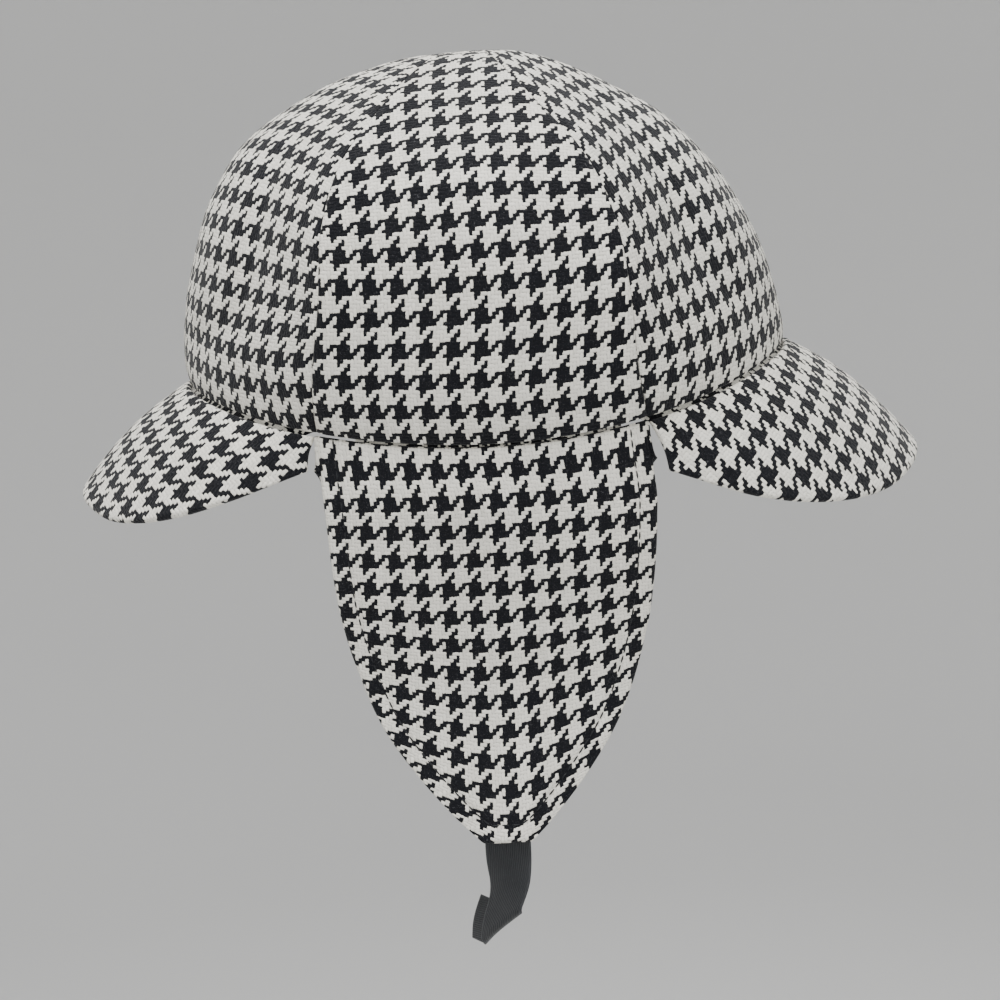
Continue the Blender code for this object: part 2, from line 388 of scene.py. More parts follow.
@dataclass(frozen=True)
class Grain:
    """The lie of the woven pattern on one piece: its columns and its rows."""

    columns: Lie
    rows: Lie

    def pattern(self, spread: tuple[float, float]) -> tuple[float, float]:
        """Repeats counted along the pattern's columns and rows at one place on the cloth."""
        return self.columns.count(spread), self.rows.count(spread)


@dataclass(frozen=True)
class EdgeRoll:
    """A rounded edge: how far in from the edge it starts, as a share of the piece, and in how many steps."""

    share: float
    steps: int = 3


class GridLine(NamedTuple):
    """Where one grid line of a slab goes, its height on the rounded edge, and its share of the flat cloth."""

    place: float
    height: float
    cloth: float


class Spot(NamedTuple):
    """One place on a slab: the smooth surface, the way out of it, the cloth's rise there and its pinch."""

    surface: Vector
    outward: Vector
    relief: float
    pinch: float


def no_shape(across: float, along: float) -> float:
    """Leaves the cloth as it is."""
    return 0.0


@dataclass
class ClothSlab:
    """One closed piece of cloth with rounded edges, laid over a surface.

    Outside gives the outer face by shares across and along, and spread the place in the flat cloth. Relief
    gives how far the whole cloth rises at a place, and pinch how far both its faces are pulled in.
    """

    name: str
    outside: Place
    spread: Spread
    grain: Grain
    thickness: float
    columns: int
    rows: int
    side_roll: EdgeRoll
    end_roll: EdgeRoll
    outward: int = 1
    relief: Shape = no_shape
    pinch: Shape = no_shape
    normal: Callable[[float, float], Vector] | None = None
    spots: dict[tuple[float, float], Spot] = field(default_factory=dict)

    @staticmethod
    def grid_line(share: float, count: int, roll: EdgeRoll) -> GridLine:
        """Spaces one grid line, with the lines near both edges on a quarter round.

        Args:
            share: Where the even grid has the line, from 0 to 1.
            count: How many spaces the even grid has.
            roll: The rounded edge.

        Returns:
            The line's place, height and share of the cloth.
        """
        line = round(share * count)
        from_edge = min(line, count - line)
        if from_edge < roll.steps:
            angle = QUARTER_TURN * from_edge / roll.steps
            inset = roll.share * (1 - math.cos(angle))
            height = math.sin(angle)
            cloth = roll.share * (1 + angle - QUARTER_TURN)
        else:
            inner = (from_edge - roll.steps) / (count - 2 * roll.steps)
            inset = roll.share + (1 - 2 * roll.share) * inner
            height = 1.0
            cloth = inset
        if line > count / 2:
            return GridLine(1 - inset, height, 1 - cloth)
        return GridLine(inset, height, cloth)

    def spot(self, across: float, along: float) -> Spot:
        """The cloth at one place, worked out once."""
        key = (round(across, 7), round(along, 7))
        if key not in self.spots:
            if self.normal is None:
                outward = surface_normal(self.outside, across, along) * self.outward
            else:
                outward = self.normal(across, along)
            surface = self.outside(across, along)
            self.spots[key] = Spot(surface, outward, self.relief(across, along), self.pinch(across, along))
        return self.spots[key]

    def face_point(self, across: float, along: float, depth: float) -> Vector:
        """A point of the cloth at a depth below its outer face."""
        spot = self.spot(across, along)
        return spot.surface + spot.outward * (spot.relief - depth)

    def build(self) -> bpy.types.Object:
        """Makes the slab as one mesh object, with its pattern map."""
        bm = bmesh.new()
        bmesh.ops.create_grid(bm, x_segments=self.columns, y_segments=self.rows, size=0.5)
        back = bmesh.ops.extrude_face_region(bm, geom=bm.faces[:], use_keep_orig=True)
        back_verts = [item for item in back["geom"] if isinstance(item, bmesh.types.BMVert)]
        bmesh.ops.translate(bm, verts=back_verts, vec=(0, 0, 1))
        weave = bm.loops.layers.uv.new(WEAVE_MAP)
        patterns = {}
        for vert in bm.verts:
            across = self.grid_line(vert.co.x + 0.5, self.columns, self.side_roll)
            along = self.grid_line(vert.co.y + 0.5, self.rows, self.end_roll)
            pinch = self.spot(across.place, along.place).pinch
            dip = self.thickness / 2 * (1 - across.height * along.height) + pinch
            depth = self.thickness - dip if vert.co.z > 0.5 else dip
            patterns[vert] = self.grain.pattern(self.spread(across.cloth, along.cloth))
            vert.co = self.face_point(across.place, along.place, depth)
        for face in bm.faces:
            for loop in face.loops:
                loop[weave].uv = patterns[loop.vert]
        bmesh.ops.remove_doubles(bm, verts=bm.verts[:], dist=MERGE_DISTANCE)
        bmesh.ops.recalc_face_normals(bm, faces=bm.faces[:])
        return finished_object(self.name, bm)


def finished_object(name: str, bm: bmesh.types.BMesh) -> bpy.types.Object:
    """Turns a bmesh into a smooth object at the origin, and frees it."""
    mesh = bpy.data.meshes.new(name)
    bm.to_mesh(mesh)
    bm.free()
    mesh.shade_smooth()
    obj = bpy.data.objects.new(name, mesh)
    bpy.context.scene.collection.objects.link(obj)
    return obj


def unevenness(point: Vector, size: float, height: float) -> float:
    """How far soft cloth strays from its true surface at one place."""
    wide = noise.noise(point / size)
    fine = noise.noise(point / (size * UNEVEN_FINE_SIZE) + UNEVEN_FINE_SHIFT)
    return height * (wide + UNEVEN_FINE_HEIGHT * fine)


GRAINS = {
    "crown_panel_left": Grain(Lie((0.0, 11.93, 0.0)), Lie((0.0, 0.0, 10.20))),
    "crown_panel_front_left": Grain(Lie((0.3, 11.93, 0.0)), Lie((0.2, 0.0, 10.20))),
    "crown_panel_rear_left": Grain(Lie((0.6, 11.93, 0.0)), Lie((0.4, 0.0, 10.20))),
    "crown_panel_right": Grain(Lie((0.4, 11.93, 0.0)), Lie((0.7, 0.0, 10.20))),
    "crown_panel_front_right": Grain(Lie((0.7, 11.93, 0.0)), Lie((0.1, 0.0, 10.20))),
    "crown_panel_rear_right": Grain(Lie((0.2, 11.93, 0.0)), Lie((0.6, 0.0, 10.20))),
    "peak_front": Grain(Lie((0.0, 11.93, 0.0)), Lie((0.0, 0.0, 10.20))),
    "peak_rear": Grain(Lie((0.5, 11.93, 0.0)), Lie((0.5, 0.0, 10.20))),
    "ear_flap_left": Grain(Lie((0.0, 11.93, 0.0)), Lie((0.0, 0.0, 10.20))),
    "ear_flap_right": Grain(Lie((0.5, 11.93, 0.0)), Lie((0.3, 0.0, 10.20))),
}


@dataclass
class Crown:
    """The six-panel crown, whose gores dip at their seams and turn in at the lower edge."""

    form: CrownForm
    seam_gap: float = 0.0003
    wall: float = 0.0022
    seam_depth: float = 0.0007
    seam_width: float = 0.0020
    hem_depth: float = 0.0011
    hem_width: float = 0.0045
    seam_round: float = 0.0006
    uneven_size: float = 0.024
    uneven_height: float = 0.0006
    columns: int = 64
    rows: int = 96

    def slabs(self) -> list[ClothSlab]:
        """The six gores, named from the wearer's side."""
        form = self.form
        lines = {
            "front_centre": lambda along: -QUARTER_TURN,
            "before_ear": lambda along: form.side_seam(End.FRONT, along),
            "behind_ear": lambda along: form.side_seam(End.REAR, along),
            "rear_centre": lambda along: QUARTER_TURN,
        }
        gores = {
            "": ("before_ear", "behind_ear"),
            "rear_": ("behind_ear", "rear_centre"),
            "front_": ("front_centre", "before_ear"),
        }
        return [
            self.gore(place, side, lines[first], lines[second])
            for side in Side
            for place, (first, second) in gores.items()
        ]

    def gore(self, place: str, side: Side, seam_a: SeamLine, seam_b: SeamLine) -> ClothSlab:
        """One gore between two seams.

        Args:
            place: The middle part of the piece's name.
            side: The half of the crown that it is in.
            seam_a: The turn of its first seam by the share along, on the left half.
            seam_b: The turn of its second seam.

        Returns:
            The slab, ready to build.
        """
        name = f"crown_panel_{place}{side.name.lower()}"
        middle = self.form.point((seam_a(0) + seam_b(0)) / 2, 0)
        shift = Vector((middle.x, middle.y, 0)).normalized() * self.seam_gap
        hand = Vector((side.value, 1, 1))

        def turn_at(across: float, along: float) -> float:
            """The turn of one place in the gore."""
            return seam_a(along) + (seam_b(along) - seam_a(along)) * across

        def outside(across: float, along: float) -> Vector:
            """The outer face."""
            return (self.form.point(turn_at(across, along), along) + shift) * hand

        def normal(across: float, along: float) -> Vector:
            """Straight out of the crown."""
            return self.form.normal(turn_at(across, along), along) * hand

        tape = Tape(outside)

        def spread(across: float, along: float) -> tuple[float, float]:
            """Counts across to the right as seen from outside the hat."""
            aside, upward = tape.spread(across, along)
            return aside * side.value, upward

        def relief(across: float, along: float) -> float:
            """Dips at both seams and at the lower edge, and is a little uneven elsewhere."""
            width = tape.line_across(along)[-1]
            fade = 1 - along**6
            seam = bell(min(across, 1 - across) * width, self.seam_width) * fade
            hem = bell(along * tape.middle_line[-1], self.hem_width)
            stray = unevenness(outside(across, along), self.uneven_size, self.uneven_height)
            return stray * fade * (1 - hem) - self.seam_depth * seam - self.hem_depth * hem

        return ClothSlab(
            name=name,
            outside=outside,
            spread=spread,
            grain=GRAINS[name],
            thickness=self.wall,
            columns=self.columns,
            rows=self.rows,
            side_roll=EdgeRoll(self.seam_round / tape.width(), 2),
            end_roll=EdgeRoll(self.wall / 2 / tape.middle_line[-1]),
            relief=relief,
            normal=normal,
        )

    def build(self, wool: bpy.types.Material) -> None:
        for slab in self.slabs():
            tape = Tape(slab.outside)
            piece = dressed(slab, wool)
            flat = (tape.width(), tape.middle_line[-1])
            tape.area()


class PeakRow(NamedTuple):
    """One point on the edge of a peak."""

    share: float
    aside: float
    ahead: float
    level: float


FRONT_PEAK_ROWS = (
    PeakRow(-0.2, -0.0232, 0.1407, -0.0407),
    PeakRow(0.0, 0.0000, 0.1446, -0.0384),
    PeakRow(0.2, 0.0232, 0.1407, -0.0407),
    PeakRow(0.4, 0.0441, 0.1278, -0.0444),
    PeakRow(0.6, 0.0607, 0.1083, -0.0425),
    PeakRow(0.8, 0.0713, 0.0842, -0.0359),
    PeakRow(1.0, 0.0750, 0.0580, -0.0275),
)
REAR_PEAK_ROWS = (
    PeakRow(-0.2, -0.0246, 0.1460, -0.0398),
    PeakRow(0.0, 0.0000, 0.1502, -0.0362),
    PeakRow(0.2, 0.0246, 0.1460, -0.0398),
    PeakRow(0.4, 0.0467, 0.1322, -0.0455),
    PeakRow(0.6, 0.0643, 0.1112, -0.0465),
    PeakRow(0.8, 0.0756, 0.0846, -0.0420),
    PeakRow(1.0, 0.0790, 0.0560, -0.0322),
)


@dataclass
class Peak:
    """One padded peak, from the crown's edge down to its own."""

    end: End
    form: CrownForm
    edge_rows: tuple[PeakRow, ...]
    seam_gap: float = 0.0003
    thickness: float = 0.0032
    arch: float = 0.055
    end_clearance: float = math.radians(0.45)
    edge_round: float = 0.0016
    least_run: float = 0.011
    uneven_size: float = 0.022
    uneven_height: float = 0.0005
    fill: float = 0.8
    columns: int = 150
    rows: int = 44

    def outside(self, across: float, along: float) -> Vector:
        """The peak's upper face."""
        heading = self.end.value
        first = self.form.side_seam(self.end) + heading * self.end_clearance
        last = heading * HALF_TURN - first
        root = self.form.point(first + (last - first) * across, 0)
        root.z -= self.seam_gap
        share = abs(2 * across - 1)
        aside = math.copysign(read_rows(self.edge_rows, "aside", share), 0.5 - across)
        ahead = heading * read_rows(self.edge_rows, "ahead", share)
        run = Vector((aside, ahead, read_rows(self.edge_rows, "level", share))) - root
        level_run = math.hypot(run.x, run.y)
        upwards = Vector((-run.z * run.x, -run.z * run.y, level_run**2)) / level_run
        return root + run * along + upwards * self.arch * math.sin(math.pi * along)

    def slab(self) -> ClothSlab:
        """The slab, ready to build."""
        name = "peak_" + self.end.name.lower()
        strip = FlatStrip(self.outside)
        heading = self.end.value
        girth = sum(
            (self.outside((step + 1) / strip.steps, 0.5) - self.outside(step / strip.steps, 0.5)).length
            for step in range(strip.steps)
        )
        depth = (self.outside(0.5, 1) - self.outside(0.5, 0)).length

        def spread(across: float, along: float) -> tuple[float, float]:
            """Counts across to the right as seen from outside the hat."""
            aside, ahead = strip.spread(across, along)
            return aside * heading, ahead

        def relief(across: float, along: float) -> float:
            """A little uneven, and true along the crown's edge."""
            stray = unevenness(self.outside(across, along), self.uneven_size, self.uneven_height)
            return stray * smooth_step(along / 0.2)

        return ClothSlab(
            name=name,
            outside=self.outside,
            spread=spread,
            grain=GRAINS[name],
            thickness=self.thickness,
            columns=self.columns,
            rows=self.rows,
            side_roll=EdgeRoll(self.edge_round / girth),
            end_roll=EdgeRoll(self.edge_round / depth),
            outward=-heading,
            relief=relief,
        )

    def build(self, wool: bpy.types.Material) -> None:
        dressed(self.slab(), wool)


class FlapRow(NamedTuple):
    """One level across an ear flap."""

    drop: float
    half_width: float
    stand_out: float
    bow: float


FLAP_ROWS = (
    FlapRow(0.0000, 0.0527, 0.0800, 0.0064),
    FlapRow(0.0130, 0.0532, 0.0812, 0.0062),
    FlapRow(0.0380, 0.0520, 0.0776, 0.0056),
    FlapRow(0.0580, 0.0497, 0.0728, 0.0046),
    FlapRow(0.0780, 0.0445, 0.0702, 0.0036),
    FlapRow(0.0930, 0.0381, 0.0706, 0.0027),
    FlapRow(0.1070, 0.0288, 0.0724, 0.0018),
    FlapRow(0.1210, 0.0172, 0.0744, 0.0009),
    FlapRow(0.1303, 0.0078, 0.0755, 0.0004),
)


class Dent(NamedTuple):
    """A soft hollow in a flap: where it lies, how far it reaches each way, and its depth."""

    across: float
    along: float
    wide: float
    high: float
    depth: float


@dataclass
class EarFlap:
    """One ear flap, which hangs from under the side gore."""

    side: Side
    form: CrownForm
    seam_gap: float = 0.0003
    top_level: float = -0.0220
    set_forward: float = 0.0006
    tuck: float = 0.0014
    blend: float = 0.16
    thickness: float = 0.0030
    edge_round: float = 0.0015
    stitch_inset: float = 0.0060
    stitch_groove: float = 0.0005
    groove_width: float = 0.0012
    uneven_size: float = 0.034
    uneven_height: float = 0.0011
    dents: tuple[Dent, ...] = (Dent(0.42, 0.28, 0.16, 0.10, 0.0012), Dent(0.72, 0.62, 0.14, 0.12, 0.0008))
    columns: int = 104
    rows: int = 128

    @property
    def length(self) -> float:
        """How far the flap hangs."""
        return FLAP_ROWS[-1].drop

    def outside(self, across: float, along: float) -> Vector:
        """The flap's outer face; across goes from its front edge to its rear one."""
        seam_a, seam_b = self.form.side_seam(End.FRONT), self.form.side_seam(End.REAR)
        turn = seam_a + (seam_b - seam_a) * across
        drop = self.length * along
        half_width = read_rows(FLAP_ROWS, "half_width", drop)
        stand_out = read_rows(FLAP_ROWS, "stand_out", drop)
        bow = read_rows(FLAP_ROWS, "bow", drop)
        from_middle = 2 * across - 1
        hanging = Vector((
            stand_out - bow * from_middle**2,
            half_width * from_middle - self.set_forward,
            self.top_level - drop,
        ))
        root = self.form.point(turn, 0) - self.form.rim_outward(turn) * self.tuck
        root.z -= self.seam_gap + drop
        point = root.lerp(hanging, smooth_step(along / self.blend))
        return Vector((self.side.value * point.x, point.y, point.z))

    def slant(self, drop: float) -> float:
        """How much further the side edge runs than it drops, at one level."""
        below = min(drop + PROBE, self.length)
        narrowing = read_rows(FLAP_ROWS, "half_width", drop) - read_rows(FLAP_ROWS, "half_width", below)
        return math.hypot(1, narrowing / PROBE)

    def from_edge(self, across: float, along: float) -> float:
        """How far a place lies from the nearest sewn edge."""
        drop = self.length * along
        half_width = read_rows(FLAP_ROWS, "half_width", drop)
        aside = min(across, 1 - across) * 2 * half_width / self.slant(drop)
        return min(aside, self.length - drop)

    def slab(self) -> ClothSlab:
        """The slab, ready to build."""
        name = "ear_flap_" + self.side.name.lower()
        tape = Tape(self.outside)
        side = self.side.value

        def spread(across: float, along: float) -> tuple[float, float]:
            """Counts across to the right as seen from outside, and up from the top line."""
            aside, down = tape.spread(across, along)
            return aside * side, -down

        def relief(across: float, along: float) -> float:
            """Uneven, with soft hollows, but true under the crown's edge."""
            stray = unevenness(self.outside(across, along), self.uneven_size, self.uneven_height)
            hollow = sum(
                dent.depth * bell((across - dent.across) / dent.wide, 1) * bell((along - dent.along) / dent.high, 1)
                for dent in self.dents
            )
            return (stray - hollow) * smooth_step(along / 0.15)

        def pinch(across: float, along: float) -> float:
            """Pulled in along the row of stitches."""
            return self.stitch_groove * bell(self.from_edge(across, along) - self.stitch_inset, self.groove_width)

        return ClothSlab(
            name=name,
            outside=self.outside,
            spread=spread,
            grain=GRAINS[name],
            thickness=self.thickness,
            columns=self.columns,
            rows=self.rows,
            side_roll=EdgeRoll(self.edge_round / tape.width()),
            end_roll=EdgeRoll(self.edge_round / self.length),
            outward=-side,
            relief=relief,
            pinch=pinch,
        )

    def stitch_path(self) -> list[tuple[float, float]]:
        """The line of the stitches by shares across and along: down the front edge and up the rear one."""
        last_drop = self.length - self.stitch_inset
        side_line = []
        for step in range(STITCH_PATH_STEPS + 1):
            drop = last_drop * step / STITCH_PATH_STEPS
            width = 2 * read_rows(FLAP_ROWS, "half_width", drop)
            side_line.append((self.stitch_inset * self.slant(drop) / width, drop / self.length))
        other_line = [(1 - across, along) for across, along in reversed(side_line)]
        return side_line + other_line

    def build(self, wool: bpy.types.Material, thread: bpy.types.Material) -> None:
        slab = self.slab()
        tape = Tape(self.outside)
        piece = dressed(slab, wool)
        flat = (tape.width(), tape.middle_line[-1])
        tape.area()
        stitching = Stitching(slab, self.stitch_path()).build()
        stitching.data.materials.append(thread)
        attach(stitching, BODY)
        log.info("%s: %d faces", stitching.name, len(stitching.data.polygons))


@dataclass
class Stitching:
    """A row of lockstitches through a slab, showing on both of its faces."""

    slab: ClothSlab
    path: list[tuple[float, float]]
    length: float = 0.0027
    pitch: float = 0.0033
    radius: float = 0.00030
    bedded: float = 0.00008
    segments: int = 6
    rings: int = 5

    def samples(self, depth: float) -> list[tuple[Vector, Vector]]:
        """Evenly spaced places on one face, with the way out of the cloth at each."""
        points = [(self.slab.face_point(*place, depth), self.slab.spot(*place).outward) for place in self.path]
        found, gone, wanted = [], 0.0, 0.0
        for (here, outward), (there, _) in zip(points, points[1:]):
            span = (there - here).length
            while span > 0 and wanted <= gone + span:
                found.append((here.lerp(there, (wanted - gone) / span), outward))
                wanted += self.pitch
            gone += span
        return found

    def build(self) -> bpy.types.Object:
        """Makes the stitches as one mesh object."""
        bm = bmesh.new()
        groove = self.slab.pinch(*self.path[0])
        for depth in (groove - self.bedded, self.slab.thickness - groove + self.bedded):
            places = self.samples(depth)
            for (here, outward), (there, _) in zip(places, places[1:]):
                run = (there - here).normalized()
                aside = outward.cross(run).normalized()
                out = run.cross(aside)
                turn = Matrix((aside, out, run)).transposed().to_4x4()
                size = Matrix.Diagonal((self.radius, self.radius, self.length / 2, 1))
                middle = Matrix.Translation((here + there) / 2)
                bmesh.ops.create_uvsphere(
                    bm, u_segments=self.segments, v_segments=self.rings, radius=1, matrix=middle @ turn @ size
                )
        return finished_object(self.slab.name + "_stitching", bm)


@dataclass
class Tie:
    """One ribbon tie: sewn behind the flap's tip, turned on its way down and folded over at a slant."""

    flap: EarFlap
    width: float = 0.0150
    length: float = 0.0560
    overlap: float = 0.0080
    fold_run: float = 0.0360
    fold_radius: float = 0.0016
    fold_angle: float = math.radians(172)
    fold_slant: float = math.sqrt(0.5)
    turn: float = math.radians(47)
    turn_run: float = 0.0240
    sway: float = 0.0052
    laid_thickness: float = 0.0010
    thickness: float = 0.0008
    edge_round: float = 0.0004
    rib: float = 0.0007
    columns: int = 30
    rows: int = 112

    def folded(self, aside: float, run: float) -> tuple[float, float, float]:
        """Takes a flat ribbon point over the slanted fold.

        Args:
            aside: How far the point lies from the ribbon's middle line.
            run: How far it lies from the sewn end.

        Returns:
            Its new place aside and along, and how far behind the ribbon it lies.
        """
        past = (aside + run - self.fold_run) * self.fold_slant
        if past <= 0:
            return aside, run, 0.0
        bent = min(past / self.fold_radius, self.fold_angle)
        rest = past - bent * self.fold_radius
        forward = self.fold_radius * math.sin(bent) + rest * math.cos(bent)
        behind = self.fold_radius * (1 - math.cos(bent)) + rest * math.sin(bent)
        shift = (forward - past) * self.fold_slant
        return aside + shift, run + shift, behind

    def middle(self, across: float, along: float) -> Vector:
        """The middle of the ribbon's thickness."""
        aside, run, behind = self.folded((across - 0.5) * self.width, along * self.length)
        below_tip = run - self.overlap
        turn = self.turn * smooth_step(below_tip / self.turn_run)
        sway = self.sway * smooth_step((below_tip - self.turn_run / 2) / self.turn_run)
        tip = FLAP_ROWS[-1]
        beside = read_rows(FLAP_ROWS, "stand_out", tip.drop + min(below_tip, 0))
        hang = beside - tip.bow - self.flap.thickness - self.flap.seam_gap - self.laid_thickness / 2
        return Vector((
            self.flap.side.value * (hang + aside * math.sin(turn) - behind * math.cos(turn)),
            aside * math.cos(turn) + behind * math.sin(turn) - self.flap.set_forward - sway,
            self.flap.top_level - tip.drop - below_tip,
        ))

    def slab(self) -> ClothSlab:
        """The slab, ready to build; its pattern map counts ribs each way."""
        ribs = LIE_UNIT / self.rib
        half = self.thickness / 2

        def spread(across: float, along: float) -> tuple[float, float]:
            """The place on the flat ribbon."""
            return (across - 0.5) * self.width, along * self.length

        return ClothSlab(
            name="tie_" + self.flap.side.name.lower(),
            outside=self.middle,
            spread=spread,
            grain=Grain(Lie((0.0, ribs, 0.0)), Lie((0.0, 0.0, ribs))),
            thickness=self.thickness,
            columns=self.columns,
            rows=self.rows,
            side_roll=EdgeRoll(self.edge_round / self.width, 2),
            end_roll=EdgeRoll(self.edge_round / self.length, 2),
            outward=-self.flap.side.value,
            relief=lambda across, along: half,
        )

    def build(self, ribbon: bpy.types.Material) -> None:
        piece = dressed(self.slab(), ribbon)


def dressed(slab: ClothSlab, finish: bpy.types.Material) -> bpy.types.Object:
    """Builds a slab in place of the CAD node of its name, with its material.

    Args:
        slab: The cloth to build.
        finish: Its material.

    Returns:
        The finished piece, riding on the hat's body.
    """
    node = slab.name
    slab.name = node + "_cloth"
    piece = slab.build()
    piece.data.materials.append(finish)
    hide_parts(node)
    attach(piece, BODY)
    log.info("%s: %d faces", piece.name, len(piece.data.polygons))
    return piece


class Shade:
    """A number inside a material, on which Python's operators add Math nodes."""

    def __init__(self, kit: "NodeKit", socket: bpy.types.NodeSocket) -> None:
        self.kit = kit
        self.socket = socket

    def math(self, operation: str, *others: "Shade | float") -> "Shade":
        """The result of one Math node on this number and the others."""
        values = dict(enumerate((self, *others)))
        return Shade(self.kit, self.kit.add("ShaderNodeMath", {"operation": operation}, values).outputs[0])

    def __add__(self, other: "Shade | float") -> "Shade":
        """This plus the other."""
        return self.math("ADD", other)

    __radd__ = __add__

    def __mul__(self, other: "Shade | float") -> "Shade":
        """This times the other."""
        return self.math("MULTIPLY", other)

    __rmul__ = __mul__

    def __sub__(self, other: "Shade | float") -> "Shade":
        """This less the other."""
        return self.math("SUBTRACT", other)

    def __rsub__(self, other: float) -> "Shade":
        """The other less this."""
        return (self * -1.0) + other

    def __mod__(self, other: float) -> "Shade":
        """The rest after whole multiples of the other, never below 0."""
        return self.math("FLOORED_MODULO", other)

    def __lt__(self, other: float) -> "Shade":
        """1 where this is the smaller."""
        return self.math("LESS_THAN", other)

    def whole(self) -> "Shade":
        """The whole number at or below this one."""
        return self.math("FLOOR")

    def toward(self, other: "Shade | float", share: "Shade | float") -> "Shade":
        """Goes part of the way from this to the other."""
        return self + (other - self) * share if isinstance(other, Shade) else self + (self * -1.0 + other) * share

    def smooth(self, low: float, high: float) -> "Shade":
        """Eases from 0 at the low number to 1 at the high one."""
        node = self.kit.add(
            "ShaderNodeMapRange", {"interpolation_type": "SMOOTHSTEP"}, {"Value": self, "From Min": low, "From Max": high}
        )
        return Shade(self.kit, node.outputs["Result"])


class NodeKit:
    """Builds the nodes of one material."""

    def __init__(self, name: str) -> None:
        """Starts a material with nothing but its shader and output."""
        self.material = bpy.data.materials.new(name)
        self.material.use_nodes = True
        self.nodes = self.material.node_tree.nodes
        self.links = self.material.node_tree.links
        self.shader = self.nodes["Principled BSDF"]

    def fill(self, node: bpy.types.Node, values: dict) -> None:
        """Sets or links a node's inputs, named by name, identifier or number."""
        for key, value in values.items():
            if isinstance(key, int):
                socket = node.inputs[key]
            else:
                socket = next(item for item in node.inputs if key in (item.identifier, item.name))
            if isinstance(value, Shade):
                self.links.new(value.socket, socket)
            elif isinstance(value, bpy.types.NodeSocket):
                self.links.new(value, socket)
            else:
                socket.default_value = value

    def add(self, kind: str, settings: dict | None = None, values: dict | None = None) -> bpy.types.Node:
        """Adds one node.

        Args:
            kind: The node's type.
            settings: Its own settings, which are set first.
            values: The values or links of its inputs.

        Returns:
            The node.
        """
        node = self.nodes.new(kind)
        for key, value in (settings or {}).items():
            setattr(node, key, value)
        self.fill(node, values or {})
        return node

    def split(self, vector: bpy.types.NodeSocket) -> tuple[Shade, Shade, Shade]:
        """The three numbers of a vector."""
        node = self.add("ShaderNodeSeparateXYZ", values={"Vector": vector})
        return tuple(Shade(self, output) for output in node.outputs)

    def vector(self, x: Shade | float, y: Shade | float, z: Shade | float = 0.0) -> bpy.types.NodeSocket:
        """A vector of three numbers."""
        return self.add("ShaderNodeCombineXYZ", values={"X": x, "Y": y, "Z": z}).outputs["Vector"]

    def noise(self, place: bpy.types.NodeSocket, scale: float, detail: float = 1.0, twist: float = 0.0) -> bpy.types.Node:
        """Soft noise round one half, at so many lumps a unit."""
        values = {"Vector": place, "Scale": scale, "Detail": detail, "Distortion": twist}
        return self.add("ShaderNodeTexNoise", {"noise_dimensions": "3D"}, values)

    def lumps(self, place: bpy.types.NodeSocket, scale: float, detail: float = 1.0, twist: float = 0.0) -> Shade:
        """Noise as a number that strays evenly from 0."""
        return Shade(self, self.noise(place, scale, detail, twist).outputs[0]) - 0.5

    def chance(self, number: Shade) -> Shade:
        """A fixed random number, from -0.5 to 0.5, for each whole number."""
        node = self.add("ShaderNodeTexWhiteNoise", {"noise_dimensions": "1D"}, {"W": number})
        return Shade(self, node.outputs["Value"]) - 0.5

    def blend(self, share: Shade | float, first: Colour, second: Colour) -> bpy.types.NodeSocket:
        """A colour part of the way from the first to the second."""
        values = {"Factor_Float": share, "A_Color": first, "B_Color": second}
        return self.add("ShaderNodeMix", {"data_type": "RGBA"}, values).outputs[2]

    def brighten(self, colour: bpy.types.NodeSocket, times: Shade) -> bpy.types.NodeSocket:
        """A colour made so many times as bright."""
        return self.add("ShaderNodeVectorMath", {"operation": "SCALE"}, {0: colour, "Scale": times}).outputs[0]

    def relief(self, height: Shade, distance: float, strength: float) -> bpy.types.NodeSocket:
        """A surface that stands up by the distance where the height is 1."""
        values = {"Height": height, "Distance": distance, "Strength": strength}
        return self.add("ShaderNodeBump", values=values).outputs["Normal"]

    def object_place(self) -> bpy.types.NodeSocket:
        """The place in the object, in metres."""
        return self.add("ShaderNodeTexCoord").outputs["Object"]

    def pattern_place(self) -> tuple[Shade, Shade]:
        """The place in the piece's pattern map."""
        across, along, _ = self.split(self.add("ShaderNodeUVMap", {"uv_map": WEAVE_MAP}).outputs["UV"])
        return across, along


